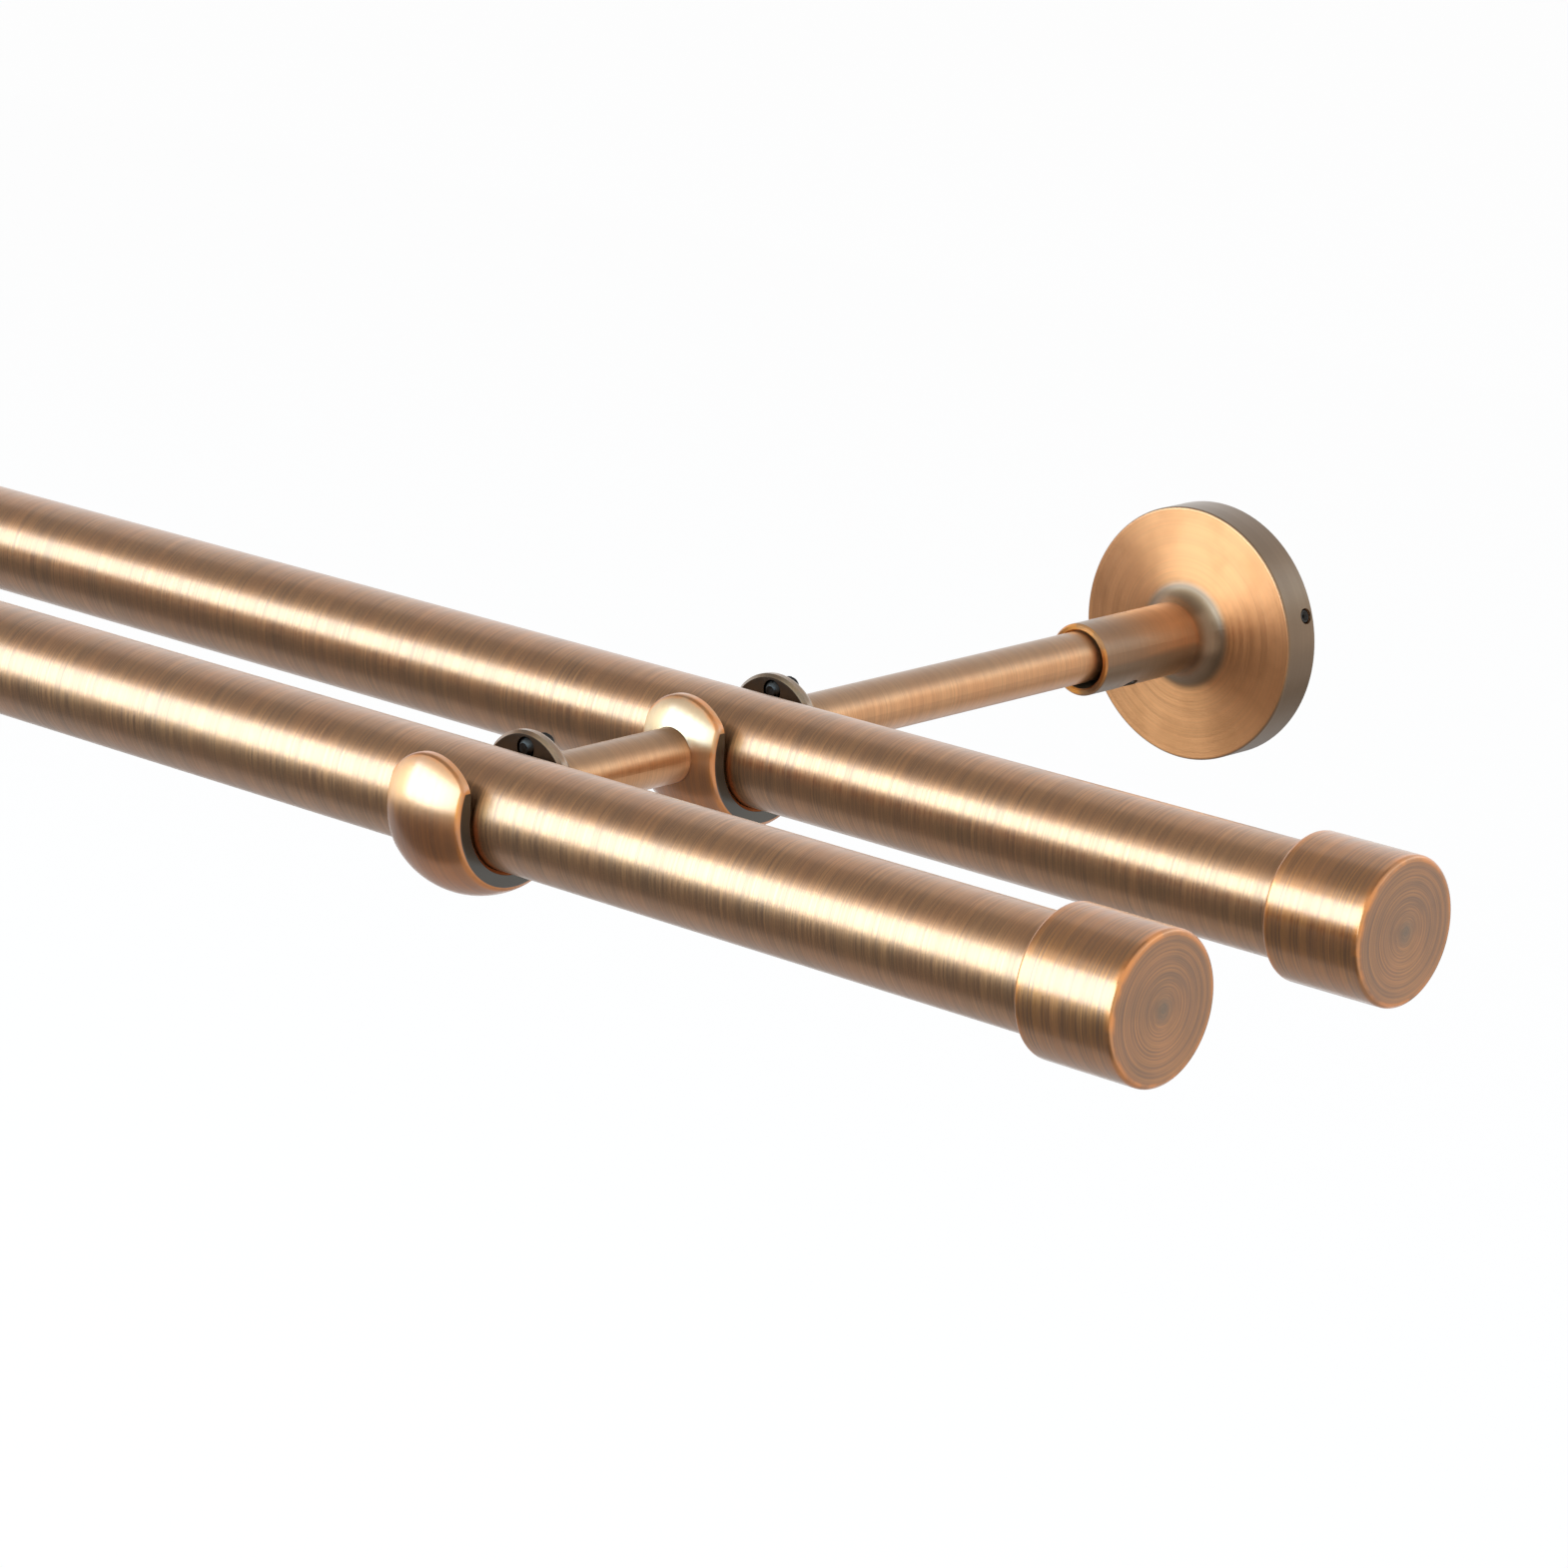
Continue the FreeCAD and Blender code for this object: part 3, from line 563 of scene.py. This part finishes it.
def cup_finish(node, copper):
    """Painted highlight on the top, painted shade on the flats and in the slot, olive back lip, and bare
    copper on edges that face the room.
    """
    row = node.split("_")[1]
    centre = (middle(node).x, middle(f"{row}_pole").y, ARM_HEIGHT)
    plate = Plate(node, copper, CUP_COAT, copper.cup_colour, centre, "X")
    turning = plate.turning
    crown = {"front": copper.front_painted_highlight_colour, "rear": copper.rear_painted_highlight_colour}[row]
    # Painted highlight: paler copper over the upper part of the ball
    on_painted_highlight = plate.within(turning.height, LIP_RADIUS, PAINTED_HIGHLIGHT_ZONE, last=PAINTED_HIGHLIGHT_SHARE)
    plate.paint(on_painted_highlight, crown)
    slot = POLE_RADIUS + copper.slot_play
    reach = plate.math("ABSOLUTE", turning.along)
    painted_shade = cup_painted_shade(plate, reach, slot)
    # Painted shade over the flats and in the slot
    plate.paint(painted_shade, copper.painted_shade_colour)
    crest = cup_crest(plate)
    behind = plate.within(turning.side, slot, BACK_ZONE, last=BACK_PATINA)
    plate.paint(plate.product(crest, behind), copper.olive_patina_and_shade_colour)
    rubbed = plate.largest(cup_edge(plate, reach, slot), crest)
    plate.wear_off(plate.product(rubbed, plate.rest(behind), plate.rest(painted_shade)))
    return plate.close(copper.brushed, copper.cup_stretch)


def arm_finish(node, copper):
    """Brushed rod with olive patina left along its top."""
    plate = Plate(node, copper, ARM_COAT, copper.arm_colour, middle(node), "Y")
    on_top = plate.within(plate.turning.height, ARM_RADIUS, ARM_TOP_ZONE, last=ARM_TOP_PATINA)
    plate.paint(on_top, copper.olive_patina_and_shade_colour)
    return plate.close(copper.brushed, copper.stretch)


def hub_patina_and_shade(plate, from_wall):
    """Patina on the hub, more of it towards its mouth, and painted shade under the hub."""
    hub, fillet = plate.copper.hub_radius, plate.copper.hub_fillet
    near_face, near_mouth = HUB_PATINA
    on_hub = plate.near(plate.turning.out, hub, HUB_DEPTHS, fillet)
    to_mouth = plate.within(from_wall, HUB_REACH, HUB_MOUTH_ZONE, first=near_face, last=near_mouth)
    # Painted shade under the hub
    under = plate.within(plate.turning.height, hub, HUB_SHADE_ZONE, last=HUB_PAINTED_SHADE)
    return plate.product(on_hub, plate.largest(to_mouth, under))


def fillet_patina_and_shade(plate, from_wall):
    """Patina and painted shade in the hollow between the rose's hub and face."""
    fillet = plate.copper.hub_fillet
    foot = plate.copper.rose_depth + fillet
    root = plate.copper.hub_radius + fillet
    at_foot = plate.near(from_wall, foot, FOOT_DEPTHS, fillet)
    # Patina and painted shade in the hollow
    in_hollow = plate.near(plate.turning.out, root, HOLLOW_DEPTHS, fillet, last=HOLLOW_PATINA_AND_SHADE)
    return plate.product(at_foot, in_hollow)


def rose_finish(node, copper):
    """Satin face, patina on hub, fillet and rim, painted shade under the hub and in the fillet, and bare
    copper at the hub's mouth.
    """
    centre = (middle(node).x, 0, middle(node).z)
    plate = Plate(node, copper, ROSE_COAT, copper.rose_colour, centre, "Y")
    from_wall = plate.math("MULTIPLY", plate.turning.along, -1.0)
    on_rim = plate.near(plate.turning.out, ROSE_RADIUS, ROSE_RIM_SKIN, last=ROSE_RIM_PATINA)
    patina_and_shade = plate.largest(hub_patina_and_shade(plate, from_wall), fillet_patina_and_shade(plate, from_wall), on_rim)
    # Patina, with painted shade under the hub and in the fillet
    plate.paint(patina_and_shade, copper.olive_patina_and_shade_colour)
    plate.wear_off(plate.near(from_wall, HUB_REACH, HUB_MOUTH_WEAR, copper.wear_width))
    return plate.close(copper.satin, copper.fan)


# Finishes of the steel pieces


def zinc_finish(node, screws):
    """Zinc plating with darker turned lines."""
    finish = Finish(f"{node}_zinc")
    lines = Turning(finish, middle(node), "Y").lines(ZINC_MARK, screws.zinc_line)
    finish.set("Base Color", finish.blend(lines, opaque(screws.zinc_colour), opaque(screws.zinc_shade)))
    finish.set("Metallic", 1.0)
    finish.set("Roughness", finish.between(lines, *PLATING_RANGE, *ZINC_ROUGHNESS))
    return finish.material


def black_finish(screws):
    """Black oxide with paler spots."""
    finish = Finish("black_oxide")
    spots = finish.noise(finish.place(), SPOT_DETAIL, 1 / screws.spot_width)
    finish.set("Base Color", finish.blend(spots, opaque(screws.steel_colour), opaque(screws.spot_colour)))
    finish.set("Metallic", 1.0)
    finish.set("Roughness", finish.between(spots, *PLATING_RANGE, *BLACK_ROUGHNESS))
    return finish.material


# Grub screws with a real thread

SCREW_SIDES = 48
STEPS_PER_PITCH = 8
WELD = 1e-6


def solids_of(node):
    """The vertices of each separate solid in a node."""
    mesh = bmesh.new()
    mesh.from_mesh(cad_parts[node].data)
    bmesh.ops.remove_doubles(mesh, verts=mesh.verts, dist=WELD)
    seen = set()
    solids = []
    for start in mesh.verts:
        if start in seen:
            continue
        seen.add(start)
        found = [start]
        for vert in found:
            fresh = [edge.other_vert(vert) for edge in vert.link_edges]
            fresh = [other for other in fresh if other not in seen]
            seen.update(fresh)
            found.extend(fresh)
        solids.append([vert.co.copy() for vert in found])
    mesh.free()
    return solids


def mean(points):
    return sum(points, Vector()) / len(points)


def straight_back(points):
    return Vector((0, 1, 0))


def straight_down(points):
    return Vector((0, 0, -1))


def away_from_rose(points):
    """From the nearer rose's axis out to the screw."""
    spot = mean(points)
    axis = middle("right_rose" if spot.x > 0 else "left_rose")
    return Vector((spot.x - axis.x, 0, spot.z - axis.z)).normalized()


# From a screw's tip to its socket, worked out from the points of its solid
GRUB_AXES = {
    "pole_clamp_screws": straight_back,
    "hub_grub_screws": away_from_rose,
    "rose_rim_screws": away_from_rose,
    "cap_grub_screws": straight_down,
}


def thread_radius(turn, along, radius, length, screws):
    """Radius of a pointed thread at one angle and place, faded out at both ends."""
    pitch = screws.pitch * radius * 2
    phase = (along / pitch - turn) % 1.0
    crest = 1 - abs(2 * phase - 1)
    fade = max(0.0, min(1.0, min(along, length - along) / pitch))
    return radius - screws.depth * radius * 2 * (1 - crest * fade)


def add_ring(mesh, place, along, radii):
    turns = [FULL_TURN * n / len(radii) for n in range(len(radii))]
    spots = [Vector((r * math.cos(turn), r * math.sin(turn), along)) for r, turn in zip(radii, turns)]
    return [mesh.verts.new(place @ spot) for spot in spots]


def bridge(mesh, first, second):
    count = len(first)
    for n in range(count):
        after = (n + 1) % count
        mesh.faces.new((first[n], first[after], second[after], second[n])).smooth = True


def hexagon_radii(count, across):
    """Radii of a hexagon's outline at equal angles."""
    sixth = FULL_TURN / 6
    turns = [(FULL_TURN * n / count) % sixth - sixth / 2 for n in range(count)]
    return [across / 2 / math.cos(turn) for turn in turns]


def add_grub_screw(mesh, tip, axis, length, radius, screws):
    """One grub screw from its tip: flat point, thread, and a hexagon socket in its end."""
    place = Matrix.Translation(tip) @ axis.to_track_quat("Z", "Y").to_matrix().to_4x4()
    point = radius * screws.point
    rings = [add_ring(mesh, place, 0, [point] * SCREW_SIDES)]
    steps = int(length / (screws.pitch * radius * 2) * STEPS_PER_PITCH)
    start = radius - point
    turns = [n / SCREW_SIDES for n in range(SCREW_SIDES)]
    for step in range(steps + 1):
        along = start + (length - start) * step / steps
        radii = [thread_radius(turn, along, radius, length, screws) for turn in turns]
        rings.append(add_ring(mesh, place, along, radii))
    socket = hexagon_radii(SCREW_SIDES, screws.key * radius * 2)
    rings.append(add_ring(mesh, place, length, socket))
    rings.append(add_ring(mesh, place, length - screws.key_depth * radius * 2, socket))
    for first, second in zip(rings, rings[1:]):
        bridge(mesh, first, second)
    mesh.faces.new(list(reversed(rings[0])))
    mesh.faces.new(rings[-1])


def make_grub_screws(node, axis_of, screws):
    """Threaded screws that stand for the plain ones of a node."""
    mesh = bmesh.new()
    for points in solids_of(node):
        axis = axis_of(points)
        spots = [point.dot(axis) for point in points]
        length = max(spots) - min(spots)
        centre = mean(points)
        tip = centre + axis * (min(spots) - centre.dot(axis))
        radius = max((point - tip - axis * (point - tip).dot(axis)).length for point in points)
        add_grub_screw(mesh, tip, axis, length, radius, screws)
    data = bpy.data.meshes.new(f"threaded_{node}")
    mesh.to_mesh(data)
    mesh.free()
    piece = bpy.data.objects.new(f"threaded_{node}", data)
    bpy.context.scene.collection.objects.link(piece)
    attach(piece, "root")
    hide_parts(node)
    return piece


# Studio


class Lamp(NamedTuple):
    """A soft rectangular lamp that faces the bracket."""

    azimuth: float  # in degrees from the front
    elevation: float  # in degrees above the horizon
    distance: float
    size: tuple
    power: float


class Card(NamedTuple):
    """A level grey card."""

    x: tuple  # from left to right
    y: tuple  # from front to back
    z: float
    grey: float


LAMPS = {
    "key_softbox": Lamp(azimuth=-22, elevation=15.5, distance=2.0, size=(3.0, 1.2), power=76),
    "back_softbox": Lamp(azimuth=140, elevation=24, distance=2.0, size=(2.4, 0.6), power=5),
}
SENSOR_WIDTH = 36
FLOOR_REACH = (-20, 20)
FLOOR_GREYS = ((0.80, 0.80, 0.80), (0.84, 0.84, 0.84))
FLOOR_GRAIN = 25 * MM
FLOOR_ROUGHNESS = 0.9
FLOOR_GLOW = 0.9
CARD_LIFT = 0.02
CARD_WIDTH = (-2.6, 1.0)
OVERHEAD = 1.3
FRONT_CARD_WIDTH = (-3.5, 2.5)
FRONT_CARD_Y = -2.6
FRONT_CARD_TOP = 1.6
FRONT_CARD_GREY = 0.3


def direction(azimuth, elevation):
    """Unit vector from the object, by azimuth from the front and elevation."""
    level = math.cos(elevation)
    return Vector((math.sin(azimuth) * level, -math.cos(azimuth) * level, math.sin(elevation)))


def add_camera(studio):
    back = direction(studio.azimuth, studio.elevation)
    right = Vector((math.cos(studio.azimuth), math.sin(studio.azimuth), 0))
    turn = Matrix((right, back.cross(right), back)).transposed()
    turn = turn @ Matrix.Rotation(studio.roll, 3, "Z")
    data = bpy.data.cameras.new("camera")
    data.lens = studio.lens
    data.sensor_width = SENSOR_WIDTH
    camera = bpy.data.objects.new("camera", data)
    spot = FRONT_CAP_FACE + Vector(studio.camera_offset)
    camera.matrix_world = Matrix.Translation(spot) @ turn.to_4x4()
    bpy.context.scene.collection.objects.link(camera)
    bpy.context.scene.camera = camera


def add_softbox(name, lamp, studio):
    towards = direction(math.radians(lamp.azimuth), math.radians(lamp.elevation))
    data = bpy.data.lights.new(name, "AREA")
    data.shape = "RECTANGLE"
    data.size, data.size_y = lamp.size
    data.energy = lamp.power
    data.color = studio.lamp_colour
    softbox = bpy.data.objects.new(name, data)
    softbox.location = BRACKET + towards * lamp.distance
    softbox.rotation_euler = towards.to_track_quat("Z", "Y").to_euler()
    softbox.visible_camera = False
    bpy.context.scene.collection.objects.link(softbox)


def add_sheet(name, corners, material):
    data = bpy.data.meshes.new(name)
    data.from_pydata(corners, [], [(0, 1, 2, 3)])
    data.materials.append(material)
    sheet = bpy.data.objects.new(name, data)
    bpy.context.scene.collection.objects.link(sheet)
    return sheet


def sees_white(finish):
    """1 for rays that should meet the white background: from the camera, off metal or through glass."""
    path = finish.node("LightPath")
    kinds = ("Is Camera Ray", "Is Glossy Ray", "Is Transmission Ray")
    return finish.largest(*(path.outputs[kind] for kind in kinds))


def floor_finish(studio):
    """Pale floor that is white where it is seen and keeps a soft shadow."""
    finish = Finish("studio_floor")
    grain = finish.noise(finish.place(), FLOOR_DETAIL, 1 / FLOOR_GRAIN)
    finish.set("Base Color", finish.blend(grain, *(opaque(grey) for grey in FLOOR_GREYS)))
    finish.set("Roughness", FLOOR_ROUGHNESS)
    glow = finish.node("Emission")
    glow.inputs["Strength"].default_value = studio.white
    mixed = finish.node("MixShader")
    finish.feed(mixed.inputs[0], finish.math("MULTIPLY", sees_white(finish), FLOOR_GLOW))
    finish.feed(mixed.inputs[1], finish.surface.outputs[0])
    finish.feed(mixed.inputs[2], glow.outputs[0])
    finish.feed(finish.output.inputs[0], mixed.outputs[0])
    return finish.material


def card_finish(name, grey):
    """A studio card of one plain grey."""
    finish = Finish(name)
    glow = finish.node("Emission")
    glow.inputs["Color"].default_value = opaque((grey, grey, grey))
    finish.feed(finish.output.inputs[0], glow.outputs[0])
    return finish.material


def add_card(name, corners, grey):
    """A card that is seen only by reflection."""
    card = add_sheet(name, corners, card_finish(name, grey))
    card.visible_camera = False
    card.visible_diffuse = False
    card.visible_shadow = False


def level_corners(x, y, z):
    return [(x[0], y[0], z), (x[1], y[0], z), (x[1], y[1], z), (x[0], y[1], z)]


def upright_corners(x, y, z):
    return [(x[0], y, z[0]), (x[1], y, z[0]), (x[1], y, z[1]), (x[0], y, z[1])]


def add_cards(studio):
    """Grey cards that stand for the dark parts of a studio: in front, below, above and behind."""
    low = CARD_LIFT - studio.floor_drop
    cards = {
        "front_low_card": Card(x=CARD_WIDTH, y=(-2.4, -0.45), z=low, grey=0.2),
        "below_card": Card(x=CARD_WIDTH, y=(-0.45, 0.35), z=low, grey=0.5),
        "over_card": Card(x=CARD_WIDTH, y=(-1.1, 0.2), z=OVERHEAD, grey=0.36),
        "over_back_card": Card(x=CARD_WIDTH, y=(0.2, 1.2), z=OVERHEAD, grey=0.8),
        "back_right_card": Card(x=(1.0, 3.2), y=(0.3, 2.6), z=low, grey=0.75),
        "back_low_card": Card(x=(-3.2, 0.9), y=(0.6, 2.6), z=low, grey=0.25),
    }
    for name, card in cards.items():
        add_card(name, level_corners(card.x, card.y, card.z), card.grey)
    front = upright_corners(FRONT_CARD_WIDTH, FRONT_CARD_Y, (low, FRONT_CARD_TOP))
    add_card("front_card", front, FRONT_CARD_GREY)


def set_world(studio):
    world = bpy.data.worlds.new("studio")
    world.use_nodes = True
    bpy.context.scene.world = world
    background = world.node_tree.nodes["Background"]
    background.inputs["Color"].default_value = (1, 1, 1, 1)
    background.inputs["Strength"].default_value = studio.white


# Operators, one for each group of pieces and one for the stage


class CURTAIN_OT_finish_poles(bpy.types.Operator):
    """Brush both poles"""

    bl_idname = "curtain_pole.finish_poles"
    bl_label = "Finish poles"

    def execute(self, context):
        for row in ROWS:
            dress(f"{row}_pole", pole_finish(f"{row}_pole", context.scene.curtain_copper))
        return {"FINISHED"}


class CURTAIN_OT_finish_caps(bpy.types.Operator):
    """Turn and brush the end caps"""

    bl_idname = "curtain_pole.finish_caps"
    bl_label = "Finish end caps"

    def execute(self, context):
        for row in ROWS:
            for side in SIDES:
                cap = f"{row}_{side}_cap"
                dress(cap, cap_finish(cap, context.scene.curtain_copper))
        return {"FINISHED"}


class CURTAIN_OT_finish_brackets(bpy.types.Operator):
    """Finish roses, arms, cups and wall plates of both brackets"""

    bl_idname = "curtain_pole.finish_brackets"
    bl_label = "Finish brackets"

    def execute(self, context):
        copper = context.scene.curtain_copper
        for side in SIDES:
            dress(f"{side}_rose", rose_finish(f"{side}_rose", copper))
            dress(f"{side}_wall_plate", zinc_finish(f"{side}_wall_plate", context.scene.curtain_screws))
            for row in ROWS:
                dress(f"{side}_{row}_arm", arm_finish(f"{side}_{row}_arm", copper))
                dress(f"{side}_{row}_cup", cup_finish(f"{side}_{row}_cup", copper))
        return {"FINISHED"}


class CURTAIN_OT_thread_screws(bpy.types.Operator):
    """Cut threads and sockets into the grub screws"""

    bl_idname = "curtain_pole.thread_screws"
    bl_label = "Thread screws"

    def execute(self, context):
        screws = context.scene.curtain_screws
        black = black_finish(screws)
        for node, axis_of in GRUB_AXES.items():
            make_grub_screws(node, axis_of, screws).data.materials.append(black)
        dress("cup_fixing_screws", black)
        return {"FINISHED"}


class CURTAIN_OT_set_stage(bpy.types.Operator):
    """Set floor, backdrop, lamps and camera"""

    bl_idname = "curtain_pole.set_stage"
    bl_label = "Set stage"

    def execute(self, context):
        studio = context.scene.curtain_studio
        floor = level_corners(FLOOR_REACH, FLOOR_REACH, -studio.floor_drop)
        add_sheet("floor", floor, floor_finish(studio))
        add_cards(studio)
        set_world(studio)
        for name, lamp in LAMPS.items():
            add_softbox(name, lamp, studio)
        add_camera(studio)
        context.scene.view_settings.view_transform = "Standard"
        return {"FINISHED"}


class CURTAIN_PT_panel(bpy.types.Panel):
    """Lists the steps in order"""

    bl_idname = "CURTAIN_PT_panel"
    bl_label = "Curtain Pole"
    bl_space_type = "VIEW_3D"
    bl_region_type = "UI"
    bl_category = "Curtain Pole"

    def draw(self, context):
        for step in STEPS:
            self.layout.operator(step.bl_idname)


STEPS = (
    CURTAIN_OT_finish_poles,
    CURTAIN_OT_finish_caps,
    CURTAIN_OT_finish_brackets,
    CURTAIN_OT_thread_screws,
    CURTAIN_OT_set_stage,
)
SETTINGS = {
    "curtain_copper": CopperSettings,
    "curtain_screws": ScrewSettings,
    "curtain_studio": StudioSettings,
}


def register():
    for kind in (*SETTINGS.values(), *STEPS, CURTAIN_PT_panel):
        bpy.utils.register_class(kind)
    for name, kind in SETTINGS.items():
        setattr(bpy.types.Scene, name, bpy.props.PointerProperty(type=kind))


def unregister():
    for name in SETTINGS:
        delattr(bpy.types.Scene, name)
    for kind in (CURTAIN_PT_panel, *STEPS, *SETTINGS.values()):
        bpy.utils.unregister_class(kind)


def main():
    register()
    bpy.ops.curtain_pole.finish_poles()
    bpy.ops.curtain_pole.finish_caps()
    bpy.ops.curtain_pole.finish_brackets()
    bpy.ops.curtain_pole.thread_screws()
    bpy.ops.curtain_pole.set_stage()


if __name__ == "__main__":
    main()
